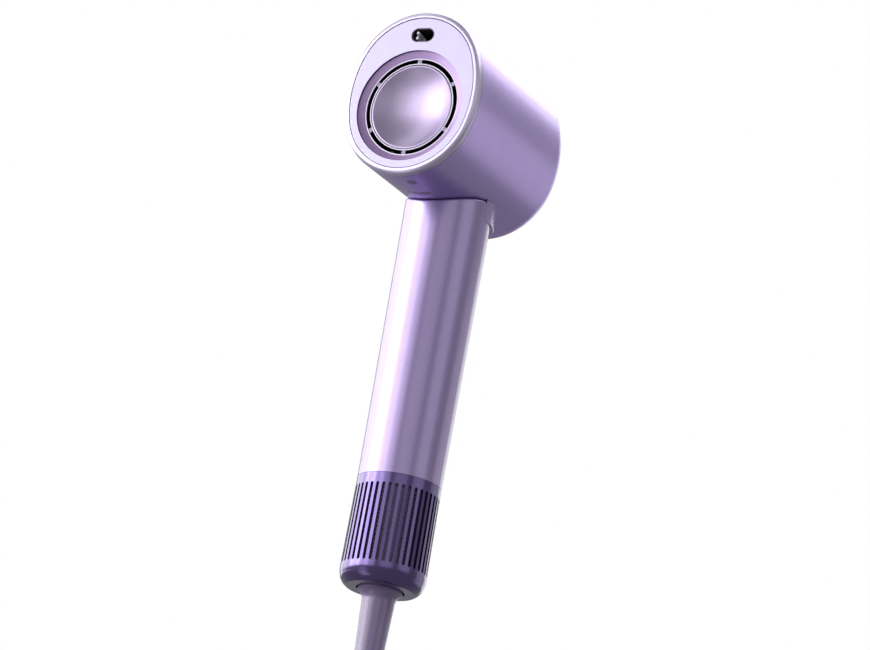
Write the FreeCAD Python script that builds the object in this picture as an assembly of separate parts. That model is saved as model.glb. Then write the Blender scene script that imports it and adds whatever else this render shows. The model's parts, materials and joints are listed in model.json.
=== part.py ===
"""Slim handheld hair dryer with its motor in the handle, a ring-slot outlet and a cord tied in a hank.

Millimetres. The origin is the middle of the grip, on the handle's axis. +Z runs up the handle, the
air leaves towards -Y, and the controls are on the +Y side.
"""

import FreeCAD, Part
import math
import os

V = FreeCAD.Vector
X_AXIS = V(1, 0, 0)
Y_AXIS = V(0, 1, 0)
Z_AXIS = V(0, 0, 1)

# ---- driving dimensions ----------------------------------------------------------------------------

# Head: an egg-shaped section, swept straight along Y.
FACE_Y = -48.8               # front of the face plate
HEAD_REAR_Y = 38.7           # flat of the rear
REAR_ROUND = 9.0             # rounding of the rear edge
HEAD_WALL = 2.0
OUTLET_Z = 92.0              # axis of the outlet, and centre of the section's lower arc
EGG_RISE = 12.2              # centre of the upper arc above the outlet's axis
EGG_LOWER_R = 31.4
EGG_UPPER_R = 30.7
EGG_SIDE_R = 50.0

# Bezel and face.
BEZEL_WIDTH = 2.6
BEZEL_ROUND = 1.9
BEZEL_DEPTH = 3.3
BEZEL_LEDGE = 4.1            # how far the ledge behind the face plate reaches in
PLATE_THICK = 2.4
SHADOW_GAP = 0.2             # visible gap between neighbouring outer shells
RECESS_R = 25.25             # the round recess that a slip-on nozzle sits in
RECESS_DEPTH = 0.9           # depth of its wall; a shallow cone runs from there to the slot
CONE_DEPTH = 1.1
SEAT_STEP = 0.5              # how far the cone reaches behind the recess's wall

# Ring slot of the outlet.
SLOT_OUTER_R = 21.7
SLOT_INNER_R = 19.85
RING_WALL = 0.45
SPOKE_COUNT = 6
SPOKE_WIDTH = 1.9
DISH_DEPTH = 5.0

# Ion port, an oblong hole near the top of the face.
PORT_X = 0.4
PORT_Z = 124.2
PORT_WIDTH = 10.0
PORT_HEIGHT = 5.2
PORT_WALL = 0.5

# Light windows, flush with the head's underside.
WINDOW_X, WINDOW_Y, WINDOW_R = 2.0, -38.5, 2.2
BAR_X, BAR_Y, BAR_HALF, BAR_HALF_WIDE = -1.0, -25.6, 5.6, 1.7

# Air duct, core and heater, all about the outlet's axis.
DUCT_R = 25.0                # inside of the duct
DUCT_WALL = 1.4
DUCT_FRONT_Y = -37.0
DUCT_REAR_Y = 16.0
CORE_R = 12.9
MICA_R = 13.8
FIN_R = 24.6
FIN_COUNT = 8
MICA_LENGTH = 30.0
COIL_ROWS = 5
COIL_RADII = (16.8, 21.2)
COIL_WIRE_R = 1.0
HEAT_GUARD_Y = -33.0         # thermostat and thermal fuse, in front of the heater
HEAT_GUARD_REACH = 20.0      # their distance from the outlet's axis

# Handle: a tube that tapers a little towards its foot.
SEAM_Z = -62.0               # joint between handle and intake cover
HANDLE_SEAM_R = 18.13
HANDLE_TAPER = 0.0069        # growth of the radius for each mm of height
HANDLE_WALL = 1.2
HANDLE_TOP_ROUND = 0.9       # rounding of the tube's top edge, under the head
LINER_R = 15.3               # inside of the liner
LINER_WALL = 1.3
NECK_R = 14.9                # outside of the sleeve that joins handle and head

# Controls at the rear of the handle.
PANEL_LOW_Z = 12.0
PANEL_HIGH_Z = 54.0
PANEL_HALF = 7.0
PANEL_R = 20.1
BUTTON_Z = 44.0
BUTTON_R = 4.4
SLIDER_Z = 22.0              # the slider's middle in its off position
SLIDER_TRAVEL = 6.0
BOARD_Y = 10.0               # rear face of the control board, which carries both switches
SWITCH_FRONT_Y = 12.6        # the button's switch, and the plunger in its middle
PLUNGER_R = 1.6
FLANGE_Y = 14.9              # inner face of the button's flange, on its return sleeve
BUTTON_FRONT_Y = 21.0
COWL_SIDE_R = 25.0           # the cowl's flanks, which run out tangent to the handle
COWL_REAR_R = 21.9
COWL_TANGENT = -15.0         # degrees from the X axis at which a flank touches the handle
COWL_FRONT_Y = -1.5          # where the flanks end
COWL_LOW_Z = 57.5

# Motor.
SHROUD_R = 13.3
SHROUD_WALL = 0.7
SHROUD_LOW_Z = -52.0
SHROUD_HIGH_Z = -16.0
HUB_R = 9.2
SHAFT_R = 1.5
RUN_CLEARANCE = 0.02         # radial clearance of the shaft in its bearings
BEARING_R = 3.5
BEARING_THICK = 3.0
VANE_COUNT = 11
BLADE_COUNT = 9

# Intake cover.
COVER_LOW_Z = -109.4
COVER_FLARE_R = 18.6
COVER_EDGE_Z = -101.5        # where the wall starts to round in
COVER_FOOT_R = 14.9
COVER_HOLE_R = 10.5
SLOT_COUNT = 40
SLOT_WIDTH = 1.45
SLOT_TOP_Z = -66.5
SLOT_LOW_Z = -101.0
MESH_R = 16.4                # outside of the mesh behind the slots
FRAME_R = 15.6               # outside of the cage inside the cover

# Cord, its strain relief, the tied hank and the plug.
CORD_R = 3.5
COLLAR_R = 9.8
BOOT_R = 7.1
BOOT_TIP_R = 5.5
BOOT_LOW_Z = -155.0
TURNS = 5
FOLD_R = 21.5
RUN_LENGTH = 95.0
FOLD_HIGH_Z = -184.0         # centre of the hank's upper fold
LANE_Y = 3.5                 # first turn of the hank
HANK_SLACK = 0.4
HANK_CAP_Z = -188.0          # above this the hank holds one more lane, that of the last fold
TIE_THICK = 1.8
TIE_WIDTH = 14.0
PLUG_X = 5.0
PLUG_Y = 48.7
PLUG_TOP_Z = -276.0
PLUG_LENGTH = 32.0
PLUG_WIDTH = 35.2
PLUG_THICK = 26.2
PIN_R = 2.4
PIN_SPACING = 19.0
PIN_LENGTH = 19.0
PLUG_BOOT_LENGTH = 22.0

# ---- sizes worked out from the driving dimensions --------------------------------------------------

BEZEL_FRONT_Y = FACE_Y - 0.1
BEZEL_REAR_Y = BEZEL_FRONT_Y + BEZEL_DEPTH
SHELL_FRONT_Y = BEZEL_REAR_Y + SHADOW_GAP
PLATE_REAR_Y = FACE_Y + PLATE_THICK
SEAT_Y = FACE_Y + RECESS_DEPTH + 0.1
SLOT_Y = SEAT_Y + CONE_DEPTH
DISH_R = SLOT_INNER_R - RING_WALL - 0.1
DUCT_OUTER_R = DUCT_R + DUCT_WALL
FOLD_LOW_Z = FOLD_HIGH_Z - RUN_LENGTH
HANK_FRONT_Y = LANE_Y - CORD_R - HANK_SLACK
HANK_REAR_Y = LANE_Y + (2 * TURNS - 1) * CORD_R + HANK_SLACK
LAST_LANE_Y = LANE_Y + 2 * TURNS * CORD_R

# ---- small builders --------------------------------------------------------------------------------


def cylinder(radius, start, end):
    """A solid cylinder between two points."""
    along = end.sub(start)
    return Part.makeCylinder(radius, along.Length, start, along)


def tube(outer, inner, low, high):
    """A tube about the handle's axis."""
    return Part.makeCylinder(outer, high - low, V(0, 0, low)).cut(
        Part.makeCylinder(inner, high - low + 2, V(0, 0, low - 1)))


def outlet_rod(radius, front, rear):
    """A solid cylinder about the outlet's axis."""
    return Part.makeCylinder(radius, rear - front, V(0, front, OUTLET_Z), Y_AXIS)


def outlet_tube(outer, inner, front, rear):
    """A tube about the outlet's axis."""
    return outlet_rod(outer, front, rear).cut(outlet_rod(inner, front - 1, rear + 1))


def box(x0, x1, y0, y1, z0, z1):
    """A box between two corners."""
    return Part.makeBox(x1 - x0, y1 - y0, z1 - z0, V(x0, y0, z0))


def face_of(points):
    """A flat face through points."""
    return Part.Face(Part.makePolygon(points + points[:1]))


def turned(profile):
    """A body turned about the handle's axis, from (radius, height) pairs."""
    return face_of([V(r, 0, z) for r, z in profile]).revolve(V(0, 0, 0), Z_AXIS, 360)


def outlet_turned(profile):
    """A body turned about the outlet's axis, from (radius, y) pairs."""
    return face_of([V(r, y, OUTLET_Z) for r, y in profile]).revolve(V(0, 0, OUTLET_Z), Y_AXIS, 360)


def around(shape, count, start=0.0, centre=V(0, 0, 0), axis=Z_AXIS):
    """Copies of a shape, evenly spaced about an axis."""
    copies = []
    for i in range(count):
        copy = shape.copy()
        copy.rotate(centre, axis, start + 360.0 * i / count)
        copies.append(copy)
    return copies


def joined(shapes):
    """One solid from touching shapes."""
    return shapes[0].multiFuse(shapes[1:]).removeSplitter()


def oblong(half_long, half_wide, centre, long_axis, wide_axis, depth_axis, depth):
    """A prism whose section is a slot with round ends; half_long reaches to the end of the round."""
    reach = half_long - half_wide
    end = long_axis * reach
    side = wide_axis * half_wide
    tip = long_axis * half_long
    edges = [
        Part.LineSegment(centre - end + side, centre + end + side).toShape(),
        Part.Arc(centre + end + side, centre + tip, centre + end - side).toShape(),
        Part.LineSegment(centre + end - side, centre - end - side).toShape(),
        Part.Arc(centre - end - side, centre - tip, centre - end + side).toShape(),
    ]
    return Part.Face(Part.Wire(edges)).extrude(depth_axis * depth)


def egg_outline(inset, y):
    """The head's section, moved in by inset, as four tangent arcs."""
    lower = V(0, y, OUTLET_Z)
    upper = V(0, y, OUTLET_Z + EGG_RISE)
    to_lower = EGG_SIDE_R - EGG_LOWER_R
    to_upper = EGG_SIDE_R - EGG_UPPER_R
    height = (to_lower ** 2 - to_upper ** 2 + EGG_RISE ** 2) / (2 * EGG_RISE)
    side = V(-math.sqrt(to_lower ** 2 - height ** 2), y, OUTLET_Z + height)
    side_r = EGG_SIDE_R - inset
    low = side + (lower - side).normalize() * side_r
    high = side + (upper - side).normalize() * side_r
    middle = side + X_AXIS * side_r

    def mirrored(p):
        return V(-p.x, p.y, p.z)

    bottom = lower - Z_AXIS * (EGG_LOWER_R - inset)
    top = upper + Z_AXIS * (EGG_UPPER_R - inset)
    return Part.Wire([
        Part.Arc(mirrored(low), bottom, low).toShape(),
        Part.Arc(low, middle, high).toShape(),
        Part.Arc(high, top, mirrored(high)).toShape(),
        Part.Arc(mirrored(high), mirrored(middle), mirrored(low)).toShape(),
    ])


def egg_prism(inset, front, rear):
    """The head's section, moved in by inset, from front to rear."""
    return Part.Face(egg_outline(inset, front)).extrude(V(0, rear - front, 0))


def edges_at_y(shape, y):
    """The edges of a shape that lie in the plane at y."""
    return [e for e in shape.Edges if all(abs(v.Y - y) < 1e-6 for v in e.Vertexes)]


def edges_at_z(shape, z):
    """The edges of a shape that lie in the plane at z."""
    return [e for e in shape.Edges if all(abs(v.Z - z) < 1e-6 for v in e.Vertexes)]


def bent_path(points):
    """Straight runs joined by tangent arcs, each as large as its two runs allow."""
    edges, radii = [], []
    start = points[0]
    for before, corner, after in zip(points, points[1:], points[2:]):
        back, ahead = before - corner, after - corner
        reach = 0.45 * min(back.Length, ahead.Length)
        half_turn = (math.pi - back.getAngle(ahead)) / 2
        radius = reach / math.tan(half_turn)
        radii.append(radius)
        back.normalize()
        ahead.normalize()
        arc_start, arc_end = corner + back * reach, corner + ahead * reach
        inward = (back + ahead).normalize()
        centre = corner + inward * (radius / math.cos(half_turn))
        edges.append(Part.LineSegment(start, arc_start).toShape())
        edges.append(Part.Arc(arc_start, centre - inward * radius, arc_end).toShape())
        start = arc_end
    edges.append(Part.LineSegment(start, points[-1]).toShape())
    return Part.Wire(edges), radii


def swept(points, radius):
    """A round wire or cord along a bent path."""
    path, radii = bent_path(points)
    first = points[1] - points[0]
    ring = Part.Wire(Part.makeCircle(radius, points[0], first))
    return path.makePipeShell([ring], True, False), path, radii


def handle_r(z):
    """Outer radius of the handle at a height."""
    return HANDLE_SEAM_R + HANDLE_TAPER * (z - SEAM_Z)


def handle_cone(inset, low, high):
    """The handle's outside, moved in by inset."""
    return Part.makeCone(handle_r(low) - inset, handle_r(high) - inset, high - low, V(0, 0, low))


# ---- head ------------------------------------------------------------------------------------------


def head_shell():
    outer = egg_prism(0, SHELL_FRONT_Y, HEAD_REAR_Y)
    outer = outer.makeFillet(REAR_ROUND, edges_at_y(outer, HEAD_REAR_Y))
    inner = egg_prism(HEAD_WALL, SHELL_FRONT_Y - 1, HEAD_REAR_Y - HEAD_WALL)
    inner = inner.makeFillet(REAR_ROUND - HEAD_WALL, edges_at_y(inner, HEAD_REAR_Y - HEAD_WALL))
    neck = Part.makeCylinder(NECK_R + 0.1, 40, V(0, 0, 40))
    return outer.cut(inner).cut(neck).cut(lens_hole(0.05)).cut(joined(screw_shanks(0.05)))


def front_bezel():
    ring = egg_prism(0, BEZEL_FRONT_Y, BEZEL_REAR_Y)
    ring = ring.makeFillet(BEZEL_ROUND, edges_at_y(ring, BEZEL_FRONT_Y))
    ring = ring.cut(egg_prism(BEZEL_WIDTH, BEZEL_FRONT_Y - 1, PLATE_REAR_Y + 0.1))
    ring = ring.cut(egg_prism(BEZEL_LEDGE, BEZEL_FRONT_Y - 1, BEZEL_REAR_Y + 1))
    skirt_rear = SHELL_FRONT_Y + 4.5
    skirt = egg_prism(HEAD_WALL + 0.1, BEZEL_REAR_Y - 0.5, skirt_rear)
    skirt = skirt.cut(egg_prism(BEZEL_LEDGE, BEZEL_REAR_Y - 1, skirt_rear + 1))
    return joined([ring, skirt])


def port_prism(grow, front, rear):
    """The ion port's oblong section, grown by grow."""
    return oblong(PORT_WIDTH / 2 + grow, PORT_HEIGHT / 2 + grow, V(PORT_X, front, PORT_Z),
                  X_AXIS, Z_AXIS, Y_AXIS, rear - front)


def face_plate():
    plate = egg_prism(BEZEL_WIDTH + 0.1, FACE_Y, PLATE_REAR_Y)
    plate = plate.makeFillet(0.5, edges_at_y(plate, FACE_Y))
    plate = plate.cut(outlet_rod(RECESS_R, FACE_Y - 1, PLATE_REAR_Y + 1))
    step_y = FACE_Y + RECESS_DEPTH
    plate = plate.cut(outlet_rod(RECESS_R + SEAT_STEP + 0.05, step_y, PLATE_REAR_Y + 1))
    return plate.cut(port_prism(PORT_WALL + 0.05, FACE_Y - 1, PLATE_REAR_Y + 1))


def outlet_seat():
    """The recess's cone, a flange behind the face plate, and a cone that narrows the air to the slot."""
    bore = SLOT_OUTER_R + RING_WALL
    cone_wall = 1.2
    profile = [
        (bore, SLOT_Y), (RECESS_R + SEAT_STEP, SEAT_Y), (RECESS_R + SEAT_STEP, PLATE_REAR_Y + 0.05),
        (RECESS_R + 1.75, PLATE_REAR_Y + 0.05), (RECESS_R + 1.75, PLATE_REAR_Y + 1.0),
        (bore + cone_wall, PLATE_REAR_Y + 1.0), (DUCT_R + cone_wall, DUCT_FRONT_Y),
        (DUCT_R, DUCT_FRONT_Y), (bore, PLATE_REAR_Y + 1.6),
    ]
    return outlet_turned(profile)


def outlet_grille():
    """Two thin rings, one each side of the slot, and the spokes across it."""
    front, rear = SLOT_Y, SLOT_Y + 4.6
    outer = outlet_tube(SLOT_OUTER_R + RING_WALL, SLOT_OUTER_R, front, SLOT_Y + 2.0)
    inner = outlet_tube(SLOT_INNER_R, SLOT_INNER_R - RING_WALL, front, rear)
    spoke = box(-SPOKE_WIDTH / 2, SPOKE_WIDTH / 2, SLOT_Y + 0.25, SLOT_Y + 2.0,
                OUTLET_Z + SLOT_INNER_R - 0.2, OUTLET_Z + SLOT_OUTER_R + 0.2)
    spokes = around(spoke, SPOKE_COUNT, centre=V(0, 0, OUTLET_Z), axis=Y_AXIS)
    return joined([outer, inner] + spokes)


def center_dish():
    """A spherical dish with a rounded lip, and a skirt that meets the core."""
    skin, skirt_y = 1.2, SLOT_Y + 5.6
    lip_r = DISH_R - 0.9
    sphere_r = (lip_r ** 2 + DISH_DEPTH ** 2) / (2 * DISH_DEPTH)
    centre = V(0, SLOT_Y + DISH_DEPTH - sphere_r, OUTLET_Z)
    drum = outlet_rod(DISH_R, SLOT_Y, skirt_y)
    drum = drum.makeFillet(0.6, edges_at_y(drum, SLOT_Y))
    hollow = outlet_rod(DISH_R - skin, SLOT_Y + 1.6, skirt_y + 1)
    hollow = hollow.cut(Part.makeSphere(sphere_r + skin, centre))
    return drum.cut(hollow).cut(Part.makeSphere(sphere_r, centre))


def magnet_ring():
    inner = SLOT_OUTER_R + RING_WALL + 2.3
    return outlet_tube(RECESS_R + 1.5, inner, PLATE_REAR_Y + 1.1, PLATE_REAR_Y + 3.1)


def core_tube():
    """The hollow body that fills the middle of the duct and flares to meet the dish."""
    wall, front, throat, rear, tip = 1.2, SLOT_Y + 5.7, -32.0, 4.0, 11.0
    profile = [
        (DISH_R - 0.1, front), (CORE_R, throat), (CORE_R, rear), (CORE_R * 0.7, rear + 5), (2.0, tip),
        (0.0, tip), (0.0, tip - wall), (CORE_R * 0.6, rear + 3.5), (CORE_R - wall, rear),
        (CORE_R - wall, throat), (DISH_R - 0.1 - wall, front),
    ]
    return outlet_turned(profile)


def air_duct():
    """The tube around the heater, closed at its rear and open at its foot to the neck."""
    tube_part = outlet_tube(DUCT_OUTER_R, DUCT_R, DUCT_FRONT_Y + 0.1, DUCT_REAR_Y)
    rear = outlet_rod(DUCT_OUTER_R, DUCT_REAR_Y, DUCT_REAR_Y + DUCT_WALL)
    neck = Part.makeCylinder(NECK_R + 0.1, 40, V(0, 0, 45))
    return joined([tube_part, rear]).cut(neck)


def coil_rings(radius_grow):
    """The heater's wire rings, grown by radius_grow."""
    rings = []
    for row in range(COIL_ROWS):
        y = -MICA_LENGTH + MICA_LENGTH * (row + 0.5) / COIL_ROWS
        for r in COIL_RADII:
            rings.append(Part.makeTorus(r, COIL_WIRE_R + radius_grow, V(0, y, OUTLET_Z), Y_AXIS))
    return rings


def mica_frame():
    """A sleeve with fins, notched where the heater's rings cross them."""
    sleeve = outlet_tube(MICA_R, CORE_R + 0.1, -MICA_LENGTH, 0)
    fin = box(-0.4, 0.4, -MICA_LENGTH, 0, OUTLET_Z + MICA_R - 0.3, OUTLET_Z + FIN_R)
    fins = around(fin, FIN_COUNT, 180.0 / FIN_COUNT, V(0, 0, OUTLET_Z), Y_AXIS)
    return joined([sleeve] + fins).cut(Part.makeCompound(coil_rings(0.15)))


def heater_coils():
    return Part.makeCompound(coil_rings(0))


def thermostat():
    return Part.makeCylinder(4.2, 3.4, V(0, HEAT_GUARD_Y - 1.6, OUTLET_Z - HEAT_GUARD_REACH), Y_AXIS)


def thermal_fuse():
    return Part.makeCylinder(1.7, 11, V(-5.5, HEAT_GUARD_Y, OUTLET_Z + HEAT_GUARD_REACH), X_AXIS)


def ion_port_liner():
    return port_prism(PORT_WALL, FACE_Y + 0.2, FACE_Y + 9).cut(port_prism(0, FACE_Y - 1, FACE_Y + 10))


def ion_module():
    module = box(-12, 12, -34, -10, OUTLET_Z + DUCT_OUTER_R + 0.8, OUTLET_Z + DUCT_OUTER_R + 9)
    long_edges = [e for e in module.Edges if abs(e.Vertexes[0].Y - e.Vertexes[-1].Y) > 1]
    return module.makeFillet(1.0, long_edges)


def ion_emitter():
    """A holder with two blunt prongs and the needle between them, at one side of the port."""
    x, z = PORT_X - 3.2, PORT_Z
    root_y, tip_y = -41.5, -47.9
    holder = cylinder(1.3, V(x, -34, z), V(x, root_y - 1.0, z))
    needle = cylinder(0.3, V(x, root_y, z), V(x, tip_y + 0.6, z))
    prongs = []
    for side in (1, -1):
        prong = cylinder(0.7, V(x, root_y, z + side * 0.9), V(x + 0.5, tip_y, z + side * 1.2))
        prongs.append(prong)
        prongs.append(Part.makeSphere(0.7, V(x + 0.5, tip_y, z + side * 1.2)))
    return joined([holder, needle] + prongs)


def lens_hole(grow):
    """The two light windows' outlines, as upright prisms through the head's underside."""
    window = Part.makeCylinder(WINDOW_R + grow, 14, V(WINDOW_X, WINDOW_Y, 55))
    bar = oblong(BAR_HALF + grow, BAR_HALF_WIDE + grow, V(BAR_X, BAR_Y, 55), X_AXIS, Y_AXIS, Z_AXIS, 14)
    return Part.makeCompound([window, bar])


def lens(index):
    """One light window, flush with the head's underside."""
    slab = egg_prism(0.02, -48, -15).cut(egg_prism(HEAD_WALL, -49, -14))
    return lens_hole(0).Solids[index].common(slab)


def indicator_board():
    return box(-6.5, 6.5, -40.5, -22, 63.9, 64.7)


# ---- neck and handle -------------------------------------------------------------------------------


def screw_places():
    """Centres of the neck screws, seen from above."""
    return [V(11.38 * sx, 11.38 * sy, 0) for sx in (1, -1) for sy in (1, -1)]


def screw_shanks(grow):
    """The neck screws' shanks, grown by grow."""
    return [Part.makeCylinder(0.75 + grow, 9.6, p + V(0, 0, 56)) for p in screw_places()]


def neck_collar():
    """The sleeve that joins handle to head, and its flange against the inside of the shell."""
    sleeve = tube(NECK_R, NECK_R - 1.4, 52, 70).common(outlet_tube(60, DUCT_R + 0.2, -30, 30))
    flange = Part.makeCylinder(18.6, 20, V(0, 0, 58)).common(
        egg_prism(HEAD_WALL + 0.02, -30, 30).cut(egg_prism(HEAD_WALL + 1.6, -31, 31)))
    flange = flange.cut(Part.makeCylinder(NECK_R - 1.4, 40, V(0, 0, 40)))
    heads = [Part.makeCylinder(1.7, 6, p + V(0, 0, 65.6)) for p in screw_places()]
    return joined([sleeve, flange]).cut(joined(heads)).cut(joined(screw_shanks(0.03)))


def neck_screws():
    shanks = screw_shanks(0)
    heads = [Part.makeCylinder(1.6, 1.2, p + V(0, 0, 65.6)) for p in screw_places()]
    return Part.makeCompound([joined([s, h]) for s, h in zip(shanks, heads)])


def under_head(shape, gap):
    """The part of a shape that lies outside the head, with a gap."""
    return shape.cut(egg_prism(-gap, -60, 60))


def panel_prism(half, low, high):
    """The control panel's oblong outline, as a prism through the rear of the handle."""
    return oblong((high - low) / 2, half, V(0, 8, (high + low) / 2), Z_AXIS, X_AXIS, Y_AXIS, 20)


def handle_tube():
    body = handle_cone(0, SEAM_Z, 72)
    body = under_head(body, SHADOW_GAP)
    top_edges = [e for e in body.Edges if all(v.Z > 50 for v in e.Vertexes)]
    body = body.makeFillet(HANDLE_TOP_ROUND, top_edges)
    body = body.cut(handle_cone(HANDLE_WALL, SEAM_Z - 1, 73))
    window = panel_prism(PANEL_HALF - 0.5, PANEL_LOW_Z + 0.5, PANEL_HIGH_Z - 0.5)
    return body.cut(window)


def handle_liner():
    """The inner tube that carries the boards and the motor; its top ring takes the neck screws."""
    body = tube(LINER_R + LINER_WALL, LINER_R, -56, 72)
    ring = tube(17.3, LINER_R - 0.3, 50, 72)
    body = under_head(joined([body, ring]), SHADOW_GAP + 0.1)
    body = body.cut(panel_prism(PANEL_HALF + 0.2, PANEL_LOW_Z - 0.2, PANEL_HIGH_Z + 0.2))
    return body.cut(joined(screw_shanks(0)))


def neck_cowl():
    """A crescent collar at the rear of the handle, just under the head, that swells out of its sides."""
    height = 16
    angle = math.radians(COWL_TANGENT)
    reach = COWL_SIDE_R - handle_r(COWL_LOW_Z)
    block = Part.makeCylinder(COWL_REAR_R, height, V(0, 0, COWL_LOW_Z))
    for side in (1, -1):
        flank = V(-side * reach * math.cos(angle), -reach * math.sin(angle), COWL_LOW_Z)
        block = block.common(Part.makeCylinder(COWL_SIDE_R, height, flank))
    block = block.common(box(-30, 30, COWL_FRONT_Y, 30, 50, 80))
    upright = [e for e in block.Edges if abs(e.Length - height) < 1e-6 and e.Vertexes[0].Y > 5]
    block = block.makeFillet(6.0, upright)
    foot = [e for e in edges_at_z(block, COWL_LOW_Z) if e.CenterOfMass.y > COWL_FRONT_Y + 0.1]
    block = block.makeFillet(0.55, foot)
    block = block.cut(handle_cone(-0.02, COWL_LOW_Z - 1, 76))
    return under_head(block, SHADOW_GAP)


def control_panel():
    """A slightly raised panel with a round hole for the button and a slot for the slider."""
    rim = panel_prism(PANEL_HALF, PANEL_LOW_Z, PANEL_HIGH_Z).common(
        Part.makeCylinder(PANEL_R, 80, V(0, 0, 0)).cut(handle_cone(-0.01, -1, 81)))
    plug = panel_prism(PANEL_HALF - 0.6, PANEL_LOW_Z + 0.6, PANEL_HIGH_Z - 0.6).common(
        tube(19.2, LINER_R + LINER_WALL + 0.3, 0, 80))
    panel = joined([rim, plug])
    button_hole = Part.makeCylinder(BUTTON_R + 0.1, 20, V(0, 8, BUTTON_Z), Y_AXIS)
    slot_low = SLIDER_Z - 1.7
    slot = box(-1.7, 1.7, 8, 28, slot_low, slot_low + SLIDER_TRAVEL + 3.4)
    return panel.cut(button_hole).cut(slot)


def temp_button():
    cap = Part.makeCylinder(BUTTON_R, BUTTON_FRONT_Y - FLANGE_Y, V(0, FLANGE_Y, BUTTON_Z), Y_AXIS)
    cap = cap.makeFillet(0.5, edges_at_y(cap, BUTTON_FRONT_Y))
    flange = Part.makeCylinder(BUTTON_R + 0.8, 1.0, V(0, FLANGE_Y, BUTTON_Z), Y_AXIS)
    stem = Part.makeCylinder(PLUNGER_R, 0.7, V(0, FLANGE_Y - 0.6, BUTTON_Z), Y_AXIS)
    return joined([cap, flange, stem])


def button_sleeve():
    """A rubber sleeve around the switch's plunger that returns the button."""
    low = SWITCH_FRONT_Y + 0.03
    middle = V(0, low, BUTTON_Z)
    height = FLANGE_Y - 0.03 - low
    sleeve = Part.makeCylinder(2.9, height, middle, Y_AXIS)
    return sleeve.cut(Part.makeCylinder(2.2, height + 2, middle - Y_AXIS, Y_AXIS))


def temp_switch():
    body = box(-3, 3, BOARD_Y, SWITCH_FRONT_Y, BUTTON_Z - 3, BUTTON_Z + 3)
    return joined([body, Part.makeCylinder(PLUNGER_R, 0.9, V(0, SWITCH_FRONT_Y - 0.1, BUTTON_Z), Y_AXIS)])


def power_slider():
    """A ridged thumb piece that follows the panel's curve, and its stem through the slot."""
    outline = oblong(5.2, 4.0, V(0, 8, SLIDER_Z), Z_AXIS, X_AXIS, Y_AXIS, 20)
    cap = outline.common(tube(PANEL_R + 1.7, PANEL_R + 0.1, 0, 60))
    stem = box(-1.5, 1.5, 14.6, PANEL_R + 0.8, SLIDER_Z - 1.5, SLIDER_Z + 1.5)
    ridges = []
    for dz in (-2, 0, 2):
        end = V(2.2, PANEL_R + 1.5, SLIDER_Z + dz)
        ridges.append(cylinder(0.4, V(-end.x, end.y, end.z), end))
    return joined([cap, stem] + ridges)


def slide_switch():
    return box(-3.5, 3.5, BOARD_Y, 14.4, SLIDER_Z - 7, SLIDER_Z + 9)


def control_board():
    return box(-8.5, 8.5, BOARD_Y - 1.1, BOARD_Y, PANEL_LOW_Z, PANEL_HIGH_Z - 2)


def power_board():
    return box(-13, 13, 3.4, 4.6, -10, 50)


def capacitor():
    can = Part.makeCylinder(6, 24, V(-5, -2.65, 18))
    return can.makeFillet(0.8, edges_at_z(can, 42))


def filter_choke():
    return Part.makeCylinder(5.5, 6, V(7.2, -2.65, 30), Y_AXIS).cut(
        Part.makeCylinder(2.5, 8, V(7.2, -3.65, 30), Y_AXIS))


def heat_sink():
    base = box(-10, 10, 1.8, 3.4, -6, 12)
    fins = [box(x - 0.5, x + 0.5, -6, 2.0, -6, 12) for x in range(-8, 9, 4)]
    return joined([base] + fins)


def heater_wires():
    return Part.makeCompound([cylinder(0.9, V(x, 4.0, 50), V(x, 4.0, 79.4)) for x in (-5, 5)])


def motor_leads():
    return Part.makeCompound([cylinder(0.6, V(x, 4.0, -16.4), V(x, 4.0, -10)) for x in (-3, 0, 3)])


def mains_wire(x, radius):
    """One mains wire, up the inside of the liner and in to the power board."""
    return swept([V(x, 14.0, -90), V(x, 14.0, -6), V(x, 4.6, -6)], radius)[0]


def mains_wires(radius=0.8):
    return Part.makeCompound([mains_wire(x, radius) for x in (-2.5, 2.5)])


def wire_channel():
    """Room for the mains wires in the pieces that they pass."""
    return Part.makeCompound([cylinder(0.95, V(x, 14.0, -95), V(x, 14.0, -16)) for x in (-2.5, 2.5)])


# ---- motor -----------------------------------------------------------------------------------------


def slanted_blade(inner, outer, thick, low, high, slant):
    """One blade along +X, leaning about its own radial axis, trimmed to a ring."""
    middle = (low + high) / 2
    blade = box(inner, outer + 2, -thick / 2, thick / 2, low - 8, high + 8)
    blade.rotate(V(0, 0, middle), X_AXIS, slant)
    return blade.common(tube(outer, inner, low, high))


def motor_housing():
    """The shroud, the guide vanes, the hub and the lower bearing's seat."""
    shroud = tube(SHROUD_R, SHROUD_R - SHROUD_WALL, SHROUD_LOW_Z, SHROUD_HIGH_Z)
    hub = tube(HUB_R, HUB_R - 1.0, -35.5, -18.6)
    plate = tube(HUB_R, BEARING_R, -35.5, -34.0)
    seat = tube(BEARING_R + 1.1, BEARING_R, -37.5, -34.0)
    vane = slanted_blade(HUB_R - 0.2, SHROUD_R - SHROUD_WALL + 0.2, 0.8, -34, -22, -15)
    return joined([shroud, hub, plate, seat] + around(vane, VANE_COUNT))


def motor_end_cap():
    """The upper plate of the hub, with the upper bearing's seat."""
    plate = Part.makeCylinder(HUB_R, 2.1, V(0, 0, -18.5))
    seat = Part.makeCylinder(BEARING_R + 1.1, 4.0, V(0, 0, -20.5))
    return joined([plate, seat]).cut(Part.makeCylinder(BEARING_R, 3.0, V(0, 0, -20.5)))


def bearing(low):
    """A small sealed bearing, with a groove between its rings on each face."""
    ring = tube(BEARING_R, SHAFT_R + RUN_CLEARANCE, low, low + BEARING_THICK)
    for z in (low - 0.2, low + BEARING_THICK - 0.2):
        ring = ring.cut(tube(2.8, 2.2, z, z + 0.4))
    return ring


def motor_bearings():
    return Part.makeCompound([bearing(-37.5), bearing(-20.5)])


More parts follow.
